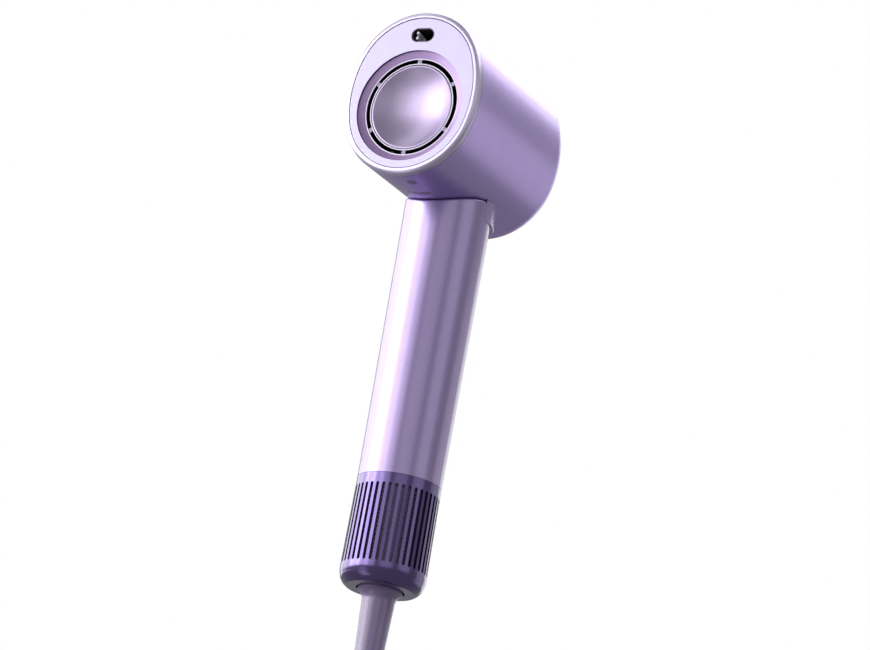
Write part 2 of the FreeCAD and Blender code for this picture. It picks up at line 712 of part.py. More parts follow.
def stator_core():
    """A ring with six teeth that point in at the rotor."""
    ring = tube(8.1, 6.3, -31, -23)
    tooth = box(3.3, 6.6, -0.9, 0.9, -31, -23)
    teeth = [t.cut(Part.makeCylinder(3.5, 10, V(0, 0, -32))) for t in around(tooth, 6)]
    return joined([ring] + teeth)


def stator_windings():
    """One closed winding around each tooth."""
    coil = box(4.0, 6.0, -1.6, 1.6, -31.8, -22.2).cut(box(3.9, 6.1, -0.95, 0.95, -31.05, -22.95))
    return Part.makeCompound(around(coil, 6))


def rotor_shaft():
    return Part.makeCylinder(SHAFT_R, 32.4, V(0, 0, -50))


def rotor_magnet():
    return tube(3.2, SHAFT_R, -31.5, -22.5)


def impeller():
    """A cone hub with slanted blades, at the lower end of the shaft."""
    hub = turned([(SHAFT_R, -49.6), (2.6, -49.6), (5.6, -46.0), (8.0, -39.2), (SHAFT_R, -39.2)])
    blade = slanted_blade(2.4, SHROUD_R - SHROUD_WALL - 0.35, 0.8, -48.6, -40, 42)
    blades = [b.cut(Part.makeCylinder(SHAFT_R + 0.5, 14, V(0, 0, -52))) for b in around(blade, BLADE_COUNT)]
    return joined([hub] + blades)


def motor_mounts():
    """Two ribbed rubber rings that hold the shroud in the liner."""
    rings = []
    for low in (-50, -22):
        ring = tube(LINER_R, SHROUD_R, low, low + 4).cut(wire_channel())
        rings.append(ring.cut(tube(LINER_R + 1, LINER_R - 0.5, low + 1.6, low + 2.4)))
    return Part.makeCompound(rings)


# ---- intake ----------------------------------------------------------------------------------------


def intake_cover():
    """A slotted sleeve with a rounded foot and a hole for the strain relief."""
    top, inner = SEAM_Z - 0.15, MESH_R + 0.05

    def at(r, z):
        return V(r, 0, z)

    shoulder = at(18.05, -105.3)
    edges = [
        Part.makeLine(at(HANDLE_SEAM_R, top), at(COVER_FLARE_R, COVER_EDGE_Z)),
        Part.Arc(at(COVER_FLARE_R, COVER_EDGE_Z), at(18.5, -103.6), shoulder).toShape(),
        Part.Arc(shoulder, at(17.1, -107.5), at(COVER_FOOT_R, COVER_LOW_Z)).toShape(),
        Part.makeLine(at(COVER_FOOT_R, COVER_LOW_Z), at(COVER_HOLE_R, COVER_LOW_Z)),
        Part.makeLine(at(COVER_HOLE_R, COVER_LOW_Z), at(COVER_HOLE_R, COVER_LOW_Z + 1.6)),
        Part.makeLine(at(COVER_HOLE_R, COVER_LOW_Z + 1.6), at(14.3, COVER_LOW_Z + 1.6)),
        Part.makeLine(at(14.3, COVER_LOW_Z + 1.6), at(16.6, COVER_EDGE_Z - 2)),
        Part.makeLine(at(16.6, COVER_EDGE_Z - 2), at(inner, top)),
        Part.makeLine(at(inner, top), at(HANDLE_SEAM_R, top)),
    ]
    sleeve = Part.Face(Part.Wire(edges)).revolve(V(0, 0, 0), Z_AXIS, 360)
    half = (SLOT_TOP_Z - SLOT_LOW_Z) / 2
    slot = oblong(half, SLOT_WIDTH / 2, V(12, 0, (SLOT_TOP_Z + SLOT_LOW_Z) / 2), Z_AXIS, Y_AXIS, X_AXIS, 10)
    return sleeve.cut(Part.makeCompound(around(slot, SLOT_COUNT)))


def cover_mesh():
    return tube(MESH_R, MESH_R - 0.4, -103.2, SEAM_Z - 0.3)


def intake_frame():
    """The cage inside the cover: a socket in the handle, a ring, ribs and a foot ring."""
    socket = tube(16.6, 13.7, -60, -56.1)
    ring = tube(FRAME_R, 13.7, -65, -60)
    foot = tube(FRAME_R, 5.05, -99, -96)
    rib = box(13.9, FRAME_R - 0.1, -0.8, 0.8, -97, -64)
    cage = joined([socket, ring, foot] + around(rib, 8, 22.5)).cut(wire_channel())
    return cage.cut(joined(base_shanks(0)))


def base_shanks(grow):
    """The base screws' shanks, grown by grow."""
    shank = Part.makeCylinder(0.9 + grow, 5.9, V(12.5, 0, -102.4))
    return around(shank, 3, 30)


def base_plate():
    return tube(15.2, 5.05, -102.4, -99.05).cut(joined(base_shanks(0.05)))


def base_screws():
    heads = around(Part.makeCylinder(1.6, 1.2, V(12.5, 0, -103.6)), 3, 30)
    return Part.makeCompound([joined([s, h]) for s, h in zip(base_shanks(0), heads)])


def terminal_block():
    block = box(-4.4, 4.4, 8.2, 14.8, -95.95, -90)
    return block.makeFillet(0.6, edges_at_z(block, -90))


# ---- cord ------------------------------------------------------------------------------------------


def cord_boot():
    """The strain relief: a flange held in the base, a wide collar, and a long tapered sleeve."""
    def at(r, z):
        return V(r, 0, z)

    neck_z, collar_z, waist_z = -102.45, -110.2, -115.2
    edges = [
        Part.makeLine(at(0, -94.2), at(7.5, -94.2)),
        Part.makeLine(at(7.5, -94.2), at(7.5, -95.95)),
        Part.makeLine(at(7.5, -95.95), at(5.0, -95.95)),
        Part.makeLine(at(5.0, -95.95), at(5.0, neck_z)),
        Part.makeLine(at(5.0, neck_z), at(COLLAR_R, neck_z)),
        Part.makeLine(at(COLLAR_R, neck_z), at(COLLAR_R, collar_z)),
        Part.Arc(at(COLLAR_R, collar_z), at(BOOT_R + 0.8, -112.0), at(BOOT_R, waist_z)).toShape(),
        Part.makeLine(at(BOOT_R, waist_z), at(BOOT_TIP_R, BOOT_LOW_Z + 0.8)),
        Part.Arc(at(BOOT_TIP_R, BOOT_LOW_Z + 0.8), at(BOOT_TIP_R - 0.2, BOOT_LOW_Z + 0.2),
                 at(BOOT_TIP_R - 0.8, BOOT_LOW_Z)).toShape(),
        Part.makeLine(at(BOOT_TIP_R - 0.8, BOOT_LOW_Z), at(0, BOOT_LOW_Z)),
        Part.makeLine(at(0, BOOT_LOW_Z), at(0, -94.2)),
    ]
    return Part.Face(Part.Wire(edges)).revolve(V(0, 0, 0), Z_AXIS, 360)


def lead_route():
    """From the strain relief straight down, then across to the hank's first run."""
    return [V(0, 0, BOOT_LOW_Z), V(0, 0, -182), V(FOLD_R, LANE_Y, -207), V(FOLD_R, LANE_Y, -235)]


def tail_route():
    """From the hank's last fold, in and back to the plug."""
    return [V(FOLD_R, LAST_LANE_Y, HANK_CAP_Z), V(FOLD_R, LAST_LANE_Y, -211),
            V(PLUG_X, PLUG_Y, -231), V(PLUG_X, PLUG_Y, PLUG_TOP_Z + PLUG_BOOT_LENGTH)]


def cord_tube(name, points):
    """A stretch of cord; its volume is its section times its length."""
    solid, path, radii = swept(points, CORD_R)
    expected = math.pi * CORD_R ** 2 * path.Length
    print(name, "length", round(path.Length, 1), "radii", [round(r, 1) for r in radii],
          "volume ratio", round(solid.Volume / expected, 4))
    return solid


def racetrack(radius, front, rear):
    """The hank's outline as a prism along Y."""
    return oblong(RUN_LENGTH / 2 + radius, radius, V(0, front, (FOLD_HIGH_Z + FOLD_LOW_Z) / 2),
                  Z_AXIS, X_AXIS, Y_AXIS, rear - front)


def cord_hank():
    """The hank's outer shape: a ring of five lanes, with a sixth at its upper fold."""
    outer_r, inner_r = FOLD_R + CORD_R + 0.3, FOLD_R - CORD_R - 0.3
    cap_rear = LAST_LANE_Y + CORD_R + HANK_SLACK
    cap = racetrack(outer_r, HANK_FRONT_Y, cap_rear).common(box(-60, 60, -60, 60, HANK_CAP_Z, 0))
    whole = joined([racetrack(outer_r, HANK_FRONT_Y, HANK_REAR_Y), cap])
    return whole.cut(racetrack(inner_r, HANK_FRONT_Y - 1, cap_rear + 1))


def tie_block(grow):
    """The block that the strap goes around, grown by grow, with rounded corners."""
    side = FOLD_R + CORD_R + 0.35 + grow
    low = (FOLD_HIGH_Z + FOLD_LOW_Z - TIE_WIDTH) / 2
    front, rear = HANK_FRONT_Y - 0.05 - grow, HANK_REAR_Y + 0.05 + grow
    block = box(-side, side, front, rear, low, low + TIE_WIDTH)
    upright = [e for e in block.Edges if abs(e.Length - TIE_WIDTH) < 1e-6]
    return block.makeFillet(0.05 + grow, upright)


def hank_tie():
    return tie_block(TIE_THICK).cut(tie_block(0))


def plug_body():
    """A flat-sided two-pin plug with a moulded strain relief."""
    low = PLUG_TOP_Z - PLUG_LENGTH
    middle = V(PLUG_X, PLUG_Y, low)
    grip = oblong(PLUG_WIDTH / 2, PLUG_THICK / 2, middle, X_AXIS, Y_AXIS, Z_AXIS, PLUG_LENGTH * 0.62)
    grip = grip.makeFillet(1.2, edges_at_z(grip, low))
    waist = V(PLUG_X, PLUG_Y, low + PLUG_LENGTH * 0.62)
    top = V(PLUG_X, PLUG_Y, PLUG_TOP_Z)
    foot = oblong(PLUG_WIDTH / 2, PLUG_THICK / 2, waist, X_AXIS, Y_AXIS, Z_AXIS, 1).Faces[-2].OuterWire
    neck = oblong(7.5, 7.0, top, X_AXIS, Y_AXIS, Z_AXIS, 1).Faces[-2].OuterWire
    shoulder = Part.makeLoft([foot, neck], True)
    relief = Part.makeCone(6.4, 4.6, PLUG_BOOT_LENGTH, V(PLUG_X, PLUG_Y, PLUG_TOP_Z))
    return joined([grip, shoulder, relief])


def plug_pins():
    """Two round pins with rounded tips."""
    top = PLUG_TOP_Z - PLUG_LENGTH
    pins = []
    for s in (1, -1):
        tip = V(PLUG_X + s * PIN_SPACING / 2, PLUG_Y, top - PIN_LENGTH)
        pin = Part.makeCylinder(PIN_R, PIN_LENGTH, tip)
        pins.append(pin.makeFillet(1.1, edges_at_z(pin, top - PIN_LENGTH)))
    return Part.makeCompound(pins)


# ---- every node ------------------------------------------------------------------------------------

NODES = {
    "head_shell": head_shell, "front_bezel": front_bezel, "face_plate": face_plate,
    "outlet_seat": outlet_seat, "outlet_grille": outlet_grille, "center_dish": center_dish,
    "magnet_ring": magnet_ring, "core_tube": core_tube, "air_duct": air_duct,
    "mica_frame": mica_frame, "heater_coils": heater_coils, "thermostat": thermostat,
    "thermal_fuse": thermal_fuse, "ion_port_liner": ion_port_liner, "ion_module": ion_module,
    "ion_emitter": ion_emitter, "heat_indicator_lens": lambda: lens(0),
    "mode_indicator_lens": lambda: lens(1), "indicator_board": indicator_board,
    "neck_collar": neck_collar, "neck_screws": neck_screws, "neck_cowl": neck_cowl,
    "handle_tube": handle_tube, "handle_liner": handle_liner, "control_panel": control_panel,
    "temp_button": temp_button, "button_sleeve": button_sleeve, "temp_switch": temp_switch,
    "power_slider": power_slider, "slide_switch": slide_switch, "control_board": control_board,
    "power_board": power_board, "capacitor": capacitor, "filter_choke": filter_choke,
    "heat_sink": heat_sink, "heater_wires": heater_wires, "motor_leads": motor_leads,
    "mains_wires": mains_wires, "motor_housing": motor_housing, "motor_end_cap": motor_end_cap,
    "motor_bearings": motor_bearings, "stator_core": stator_core, "stator_windings": stator_windings,
    "rotor_shaft": rotor_shaft, "rotor_magnet": rotor_magnet, "impeller": impeller,
    "motor_mounts": motor_mounts,
    "intake_cover": intake_cover, "cover_mesh": cover_mesh, "intake_frame": intake_frame,
    "base_plate": base_plate, "base_screws": base_screws, "terminal_block": terminal_block,
    "cord_boot": cord_boot, "cord_lead": lambda: cord_tube("cord_lead", lead_route()),
    "cord_hank": cord_hank, "cord_tail": lambda: cord_tube("cord_tail", tail_route()),
    "hank_tie": hank_tie, "plug_body": plug_body, "plug_pins": plug_pins,
}

os.makedirs("parts", exist_ok=True)
for name, make in NODES.items():
    shape = make()
    if not shape.isValid():
        print("INVALID", name)
    solids = len(shape.Solids)
    print(f"{name}: {solids} solid(s), {shape.Volume:.1f} mm3")
    shape.exportStep(f"parts/{name}.step")
print(len(NODES), "nodes")
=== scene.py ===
"""Looks of the slim hair dryer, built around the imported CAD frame.

Blender units are metres, in the part's own frame: +Z up the handle, the air leaves towards -Y.
The camera and the cord come first, then the materials, the visible pieces and the studio.
"""

import json
import math

import bmesh
import bpy
from mathutils import Matrix, Vector


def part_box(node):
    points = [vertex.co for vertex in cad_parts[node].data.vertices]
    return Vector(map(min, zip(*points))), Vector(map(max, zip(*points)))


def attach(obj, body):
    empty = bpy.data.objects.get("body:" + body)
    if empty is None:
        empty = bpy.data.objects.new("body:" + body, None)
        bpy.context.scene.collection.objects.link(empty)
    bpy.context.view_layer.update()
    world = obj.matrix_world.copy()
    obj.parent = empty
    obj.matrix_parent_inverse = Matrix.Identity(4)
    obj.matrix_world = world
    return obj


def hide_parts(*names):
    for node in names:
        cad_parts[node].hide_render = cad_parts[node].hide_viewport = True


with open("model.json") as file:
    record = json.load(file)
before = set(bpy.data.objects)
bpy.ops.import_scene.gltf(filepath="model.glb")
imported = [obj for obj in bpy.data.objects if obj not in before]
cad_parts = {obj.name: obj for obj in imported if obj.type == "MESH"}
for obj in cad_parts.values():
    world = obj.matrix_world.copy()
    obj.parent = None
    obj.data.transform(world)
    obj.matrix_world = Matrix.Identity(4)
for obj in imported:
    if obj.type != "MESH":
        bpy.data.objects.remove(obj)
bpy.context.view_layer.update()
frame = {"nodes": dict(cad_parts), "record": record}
NODES = frame["nodes"]
SCENE = bpy.context.scene
MM = 0.001

# ---- driving dimensions, in metres and degrees -----------------------------------------------------

# Camera: it looks up at the dryer from in front and to its left, and is rolled a little.
CAMERA_AZIMUTH = 30.0
CAMERA_ELEVATION = -16.82
CAMERA_ROLL = 10.17
CAMERA_DISTANCE = 2.325
CAMERA_RIGHT = 0.01517           # the aim, from the handle's seam, along the picture's right and up
CAMERA_UP = 0.06773
CAMERA_LENS = 226.2              # lens and sensor, in millimetres
CAMERA_SENSOR = 36.0
CAMERA_CLIP = (0.05, 50.0)
SEAM_Z = -0.062

# Cord: the route's points repeat the CAD's.
CORD_DIAMETER = 0.007
CORD_PLAY = 0.05 * MM            # taken off the radius, so that turns side by side stay apart
LEAD_ROUTE = [
    (0.0, 0.0, -0.155), (0.0, 0.0, -0.182), (0.0215, 0.0035, -0.207), (0.0215, 0.0035, -0.235),
]
TAIL_ROUTE = [
    (0.0215, 0.0385, -0.188), (0.0215, 0.0385, -0.211), (0.005, 0.0487, -0.231), (0.005, 0.0487, -0.254),
]
TURNS = 5
FOLD_RADIUS = 0.0215
FOLD_HIGH_Z = -0.184
FOLD_LOW_Z = -0.279
FIRST_LANE_Y = 0.0035
# How much shorter than the neat hank each turn is, at its upper and its lower fold.
TURN_SLACK = [(0.0, 0.0008), (0.0014, 0.0026), (0.0006, 0.0), (0.0020, 0.0015), (0.0009, 0.0024)]

# Strap round the hank: its loop, the free end doubled over its front, and the hem's stitches.
STRAP_THICK = 1.5 * MM
STRAP_INSET = 0.3 * MM           # the loop, inside the CAD's tie
STRAP_CORNER = 2.2 * MM
CORNER_STEPS = 8
EDGE_STEPS = 6                   # steps round each half-round edge
FLAP_REACH = 21.0 * MM
FLAP_THICK = 0.9 * MM
FLAP_RISE = 0.35 * MM            # from the loop's face to the flap's middle
FLAP_NARROWER = 1.0 * MM
FLAP_STEPS = 10
STITCHES = 6
STITCH_PITCH = 2.0 * MM
STITCH_INSET = 2.0 * MM          # from the flap's end
STITCH_HALF = (0.35 * MM, 0.12 * MM, 0.6 * MM)

# Outlet: depths along Y behind which painted shade darkens the walls of its recess, seat, spokes and
# slot.
SLOT_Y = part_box("outlet_grille")[0][1]
RECESS_WALL_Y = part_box("face_plate")[0][1] + 0.2 * MM
SEAT_WALL_Y = SLOT_Y + 0.1 * MM
SPOKE_SIDE_Y = SLOT_Y + 0.12 * MM
SLOT_WALL_Y = SLOT_Y + 0.4 * MM
LAYER_BLEND = 0.1 * MM

# Intake mesh: its radius, and the pitch and size of its painted holes, dark with painted shade.
MESH_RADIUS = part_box("cover_mesh")[1][0]
MESH_PITCH = 1.1 * MM
ROW_PITCH = 0.87                 # this and the hole's soft edge are shares of the pitch
HOLE_INSIDE = 0.26
HOLE_OUTSIDE = 0.34

# Studio: the room's and the floor's strengths, and the boxes of light, aimed at a point on the axis.
ROOM_LIGHT = 0.28
FLOOR_GLOW = 0.62
FLOOR_HALF = 30.0
FLOOR_Z = -1.1
LIGHT_DISTANCE = 1.6
LIGHT_AIM_Z = 0.02
BOX_TALL = 1.0
# Each box's name, turn from the camera, height, power and width. A bank down the left makes the long
# highlight, the right side is lit from above, and boxes behind the dryer light its edges.
SOFTBOXES = [
    ("left_front", -42, 10, 3.4, 0.8),
    ("left", -62, 12, 6.8, 0.9),
    ("left_side", -86, 12, 14.0, 0.9),
    ("left_behind", -112, 12, 7.0, 0.9),
    ("left_back", -140, 14, 4.0, 0.8),
    ("left_high", -90, 50, 3.0, 0.6),
    ("left_low", -60, -35, 1.6, 0.6),
    ("front", 2, 10, 2.1, 1.0),
    ("right_front", 52, 12, 2.0, 0.9),
    ("front_high", 30, 55, 1.5, 0.6),
    ("right_high", 95, 58, 12.0, 1.0),
    ("right_side", 112, 0, 1.5, 0.9),
    ("right_back", 150, 10, 2.4, 0.8),
    ("back_high", 160, 48, 8.0, 1.2),
]

# ---- camera ----------------------------------------------------------------------------------------


def direction(azimuth_degrees, elevation_degrees):
    """The unit vector from the dryer towards an azimuth, turned from -Y to +X, and an elevation."""
    azimuth, elevation = math.radians(azimuth_degrees), math.radians(elevation_degrees)
    return Vector((
        math.sin(azimuth) * math.cos(elevation),
        -math.cos(azimuth) * math.cos(elevation),
        math.sin(elevation),
    ))


def make_camera():
    """The camera, from its azimuth, elevation and roll about the seam of the handle."""
    azimuth, roll = math.radians(CAMERA_AZIMUTH), math.radians(CAMERA_ROLL)
    back = direction(CAMERA_AZIMUTH, CAMERA_ELEVATION)
    level = Vector((math.cos(azimuth), math.sin(azimuth), 0.0))
    upright = back.cross(level)
    right = level * math.cos(roll) + upright * math.sin(roll)
    up = upright * math.cos(roll) - level * math.sin(roll)
    aim = Vector((0.0, 0.0, SEAM_Z)) + right * CAMERA_RIGHT + up * CAMERA_UP
    camera = bpy.data.objects.new("camera", bpy.data.cameras.new("camera"))
    camera.matrix_world = Matrix((right, up, back)).transposed().to_4x4()
    camera.location = aim + back * CAMERA_DISTANCE
    camera.data.lens = CAMERA_LENS
    camera.data.sensor_width = CAMERA_SENSOR
    camera.data.clip_start, camera.data.clip_end = CAMERA_CLIP
    SCENE.collection.objects.link(camera)
    SCENE.camera = camera


make_camera()

# ---- cord ------------------------------------------------------------------------------------------


def hank_points():
    """The hank's turns: each goes down the right side, folds, comes up the left side and folds back."""
    reach = FOLD_RADIUS * math.tan(math.radians(22.5))
    side = FOLD_RADIUS
    step = CORD_DIAMETER / 3
    points = []
    for turn in range(TURNS):
        y = FIRST_LANE_Y + turn * CORD_DIAMETER
        high = FOLD_HIGH_Z - TURN_SLACK[turn][0]
        low = FOLD_LOW_Z + TURN_SLACK[turn][1]
        points += [
            (side, y, low + reach), (side, y, low - reach), (reach, y, low - side),
            (-reach, y, low - side), (-side, y, low - reach), (-side, y, low + reach),
        ]
        points += [
            (-side, y, high - reach), (-side, y, high + reach), (-reach, y + step, high + side),
            (reach, y + 2 * step, high + side), (side, y + 3 * step, high + reach),
            (side, y + 3 * step, high - reach),
        ]
    return points


def make_cord(points):
    """The cord as one smooth open spline through the control points."""
    curve = bpy.data.curves.new("mains_cord", "CURVE")
    curve.dimensions = "3D"
    curve.resolution_u = 10
    curve.bevel_depth = CORD_DIAMETER / 2 - CORD_PLAY
    curve.bevel_resolution = 6
    curve.use_fill_caps = True
    spline = curve.splines.new("NURBS")
    spline.points.add(len(points) - 1)
    for place, point in zip(spline.points, points):
        place.co = (*point, 1.0)
    spline.order_u = 3
    spline.use_endpoint_u = True
    cord = bpy.data.objects.new("mains_cord", curve)
    SCENE.collection.objects.link(cord)
    return cord


# The tail begins where the last turn would end, so that turn's last point is left out.
cord = make_cord(LEAD_ROUTE + hank_points()[:-1] + TAIL_ROUTE)

# ---- material building blocks ----------------------------------------------------------------------

# Scales of the noises, per metre.
FLAKE_SCALE = 900.0
CLOUD_SCALE = 35.0
SHEEN_SCALE = 120.0
PEEL_SCALE = 330.0
TONE_SCALE = 60.0
WEAR_SCALE = 420.0
BRUSH_SCALE = 1800.0
FLOOR_SCALE = 3.0
# Lacquer: how far the flakes and the clouds pull it to its deep colour, its coat and its orange peel.
FLAKE_PULL = 0.16
CLOUD_PULL = 0.14
COAT_ROUGHNESS = 0.16
PEEL_STRENGTH = 0.012
PEEL_DEPTH = 0.05 * MM
# Places of the colour sockets on a Mix node.
MIX_FIRST, MIX_SECOND, MIX_RESULT = 6, 7, 2


class Recipe:
    """A material's node tree, with short ways to add what the finishes here need."""

    def __init__(self, name):
        self.material = bpy.data.materials.new(name)
        self.material.use_nodes = True
        self.tree = self.material.node_tree
        self.shader = self.tree.nodes["Principled BSDF"]
        self.place = self.tree.nodes.new("ShaderNodeTexCoord").outputs["Object"]

    def link(self, source, target):
        """Joins an output to an input, or to the main shader's input of that name."""
        if isinstance(target, str):
            target = self.shader.inputs[target]
        self.tree.links.new(source, target)

    def set(self, **inputs):
        """Sets inputs of the main shader, by their names with _ for a space."""
        for name, value in inputs.items():
            self.shader.inputs[name.replace("_", " ")].default_value = value

    def stretched(self, scale):
        """The place, scaled along each axis."""
        node = self.tree.nodes.new("ShaderNodeMapping")
        node.inputs["Scale"].default_value = scale
        self.link(self.place, node.inputs["Vector"])
        return node.outputs["Vector"]

    def noise(self, scale, detail=2.0, vector=None):
        """Soft noise, mostly between 0.3 and 0.7."""
        node = self.tree.nodes.new("ShaderNodeTexNoise")
        node.inputs["Scale"].default_value = scale
        node.inputs["Detail"].default_value = detail
        self.link(vector or self.place, node.inputs["Vector"])
        return node.outputs["Fac"]

    def spread(self, value, low, high, from_low=0.3, from_high=0.7):
        """A value moved from one range to another."""
        node = self.tree.nodes.new("ShaderNodeMapRange")
        node.inputs["From Min"].default_value = from_low
        node.inputs["From Max"].default_value = from_high
        node.inputs["To Min"].default_value = low
        node.inputs["To Max"].default_value = high
        self.link(value, node.inputs["Value"])
        return node.outputs["Result"]

    def mixed(self, factor, first, second):
        """A colour between two colours; either may be a colour or a node's output."""
        node = self.tree.nodes.new("ShaderNodeMix")
        node.data_type = "RGBA"
        self.link(factor, node.inputs["Factor"])
        for socket, colour in ((node.inputs[MIX_FIRST], first), (node.inputs[MIX_SECOND], second)):
            if isinstance(colour, tuple):
                socket.default_value = (*colour, 1.0)
            else:
                self.link(colour, socket)
        return node.outputs[MIX_RESULT]

    def along(self, axis):
        """How far along one axis of the part's frame the surface lies."""
        node = self.tree.nodes.new("ShaderNodeSeparateXYZ")
        self.link(self.place, node.inputs["Vector"])
        return node.outputs[axis]

    def maths(self, operation, first, second=0.0):
        """One step of arithmetic on numbers or nodes' outputs."""
        node = self.tree.nodes.new("ShaderNodeMath")
        node.operation = operation
        for socket, value in zip(node.inputs, (first, second)):
            if isinstance(value, float):
                socket.default_value = value
            else:
                self.link(value, socket)
        return node.outputs["Value"]

    def soft_edges(self, radius):
        """A normal that rounds sharp edges by radius, in metres."""
        node = self.tree.nodes.new("ShaderNodeBevel")
        node.samples = 4
        node.inputs["Radius"].default_value = radius
        return node.outputs["Normal"]

    def bump(self, height, strength, distance, normal=None):
        """Relief on the surface, on top of another normal if one is given."""
        node = self.tree.nodes.new("ShaderNodeBump")
        node.inputs["Strength"].default_value = strength
        node.inputs["Distance"].default_value = distance
        self.link(height, node.inputs["Height"])
        if normal:
            self.link(normal, node.inputs["Normal"])
        self.link(node.outputs["Normal"], "Normal")


def shaded(colour, share):
    """A colour darkened to a share of itself."""
    return tuple(channel * share for channel in colour)


def lacquer(name, colour, deep, metallic=0.8, roughness=0.32, coat=0.4, shade_layers=()):
    """Pearl lacquer: fine flakes in the colour, a soft orange peel and a clear coat.

    Each shade layer (y, colour) is painted shade on what lies behind the depth y, such as a recess wall
    or a slot wall.
    """
    r = Recipe(name)
    flakes = r.noise(FLAKE_SCALE, 2.0)
    clouds = r.noise(CLOUD_SCALE, 3.0)
    tint = r.mixed(r.spread(flakes, 0.0, FLAKE_PULL), colour, deep)
    tint = r.mixed(r.spread(clouds, 0.0, CLOUD_PULL), tint, deep)
    # Painted shade: behind each depth the wall takes the layer's darker or near-black colour.
    for depth, shade_colour in shade_layers:
        tint = r.mixed(r.spread(r.along("Y"), 0.0, 1.0, depth, depth + LAYER_BLEND), tint, shade_colour)
    # Painted shade: behind the first depth the wall also loses the metal and the coat, so it stays dull
    # and dark.
    if shade_layers:
        first = shade_layers[0][0]
        clear_of_shade = r.spread(r.along("Y"), 1.0, 0.0, first, first + LAYER_BLEND)
        r.link(r.spread(clear_of_shade, 0.0, metallic, 0.0, 1.0), "Metallic")
        r.link(r.spread(clear_of_shade, 0.0, coat, 0.0, 1.0), "Coat Weight")
    else:
        r.set(Metallic=metallic, Coat_Weight=coat)
    r.link(tint, "Base Color")
    r.link(r.spread(r.noise(SHEEN_SCALE, 3.0), roughness - 0.015, roughness + 0.02), "Roughness")
    r.set(Coat_Roughness=COAT_ROUGHNESS)
    r.bump(r.noise(PEEL_SCALE, 1.0), PEEL_STRENGTH, PEEL_DEPTH)
    return r.material


def moulded(name, colour, roughness=0.5, grain=0.08, grain_scale=3500.0, variation=0.12, coat=0.0):
    """Moulded plastic or rubber with a fine grain and a little unevenness of tone."""
    r = Recipe(name)
    tone = r.spread(r.noise(TONE_SCALE, 4.0), 0.0, 1.0)
    r.link(r.mixed(tone, colour, shaded(colour, 1.0 - variation)), "Base Color")
    r.link(r.spread(r.noise(WEAR_SCALE, 3.0), roughness - 0.05, roughness + 0.06), "Roughness")
    r.set(Coat_Weight=coat, Coat_Roughness=0.2)
    r.bump(r.noise(grain_scale, 3.0), grain, 0.06 * MM, r.soft_edges(0.15 * MM))
    return r.material


def pierced(name, colour, hole_shade):
    """The thin sheet round the handle's axis, with staggered rows of small round holes painted on it in
    painted shade and bumped.
    """
    r = Recipe(name)
    turns = r.maths("DIVIDE", r.maths("ARCTAN2", r.along("Y"), r.along("X")), 2 * math.pi)
    around = r.maths("MULTIPLY", turns, float(round(2 * math.pi * MESH_RADIUS / MESH_PITCH)))
    rows = r.maths("DIVIDE", r.along("Z"), MESH_PITCH * ROW_PITCH)
    stagger = r.maths("MULTIPLY", r.maths("FLOOR", rows), 0.5)
    x = r.maths("SUBTRACT", r.maths("FRACT", r.maths("ADD", around, stagger)), 0.5)
    y = r.maths("SUBTRACT", r.maths("FRACT", rows), 0.5)
    reach = r.maths("SQRT", r.maths("ADD", r.maths("MULTIPLY", x, x), r.maths("MULTIPLY", y, y)))
    # Painted shade: the round holes take the dark colour of what would be seen through them.
    inside = r.spread(reach, 1.0, 0.0, HOLE_INSIDE, HOLE_OUTSIDE)
    r.link(r.mixed(inside, colour, hole_shade), "Base Color")
    r.link(r.spread(r.noise(WEAR_SCALE, 3.0), 0.42, 0.5), "Roughness")
    r.set(Metallic=0.5)
    r.bump(reach, 0.4, 0.2 * MM)
    return r.material


def metal(name, colour, roughness=0.25, brushed=(1.0, 1.0, 1.0)):
    """Bare metal, with fine marks drawn out along an axis where brushed is uneven."""
    r = Recipe(name)
    marks = r.noise(BRUSH_SCALE, 3.0, r.stretched(brushed))
    r.link(r.mixed(r.spread(marks, 0.0, 0.5), colour, shaded(colour, 0.82)), "Base Color")
    r.link(r.spread(marks, roughness - 0.06, roughness + 0.1), "Roughness")
    r.set(Metallic=1.0)
    r.bump(marks, 0.06, 0.03 * MM, r.soft_edges(0.1 * MM))
    return r.material


# ---- finishes --------------------------------------------------------------------------------------

# Painted shade: near black, for the dark inside of the seat's and the grille's slot walls and of the
# mesh's holes.
PAINTED_SHADE_BLACK = (0.003, 0.002, 0.005)
# Painted shade: a dim violet on the sides of the grille's spokes.
SPOKE_SIDE_SHADE = (0.30, 0.25, 0.40)
# Painted shade: a dark violet on the wall of the face plate's recess.
RECESS_WALL_SHADE = (0.09, 0.04, 0.15)
FACE_COLOURS = ((0.42, 0.385, 0.575), (0.37, 0.33, 0.53))
RING_COLOURS = ((0.50, 0.46, 0.58), (0.46, 0.42, 0.55))
# Painted shade layers: each (depth, colour) darkens what lies behind that depth.
SEAT_SHADE_LAYERS = ((SEAT_WALL_Y, PAINTED_SHADE_BLACK),)
GRILLE_SHADE_LAYERS = ((SPOKE_SIDE_Y, SPOKE_SIDE_SHADE), (SLOT_WALL_Y, PAINTED_SHADE_BLACK))
FACE_SHADE_LAYERS = ((RECESS_WALL_Y, RECESS_WALL_SHADE),)

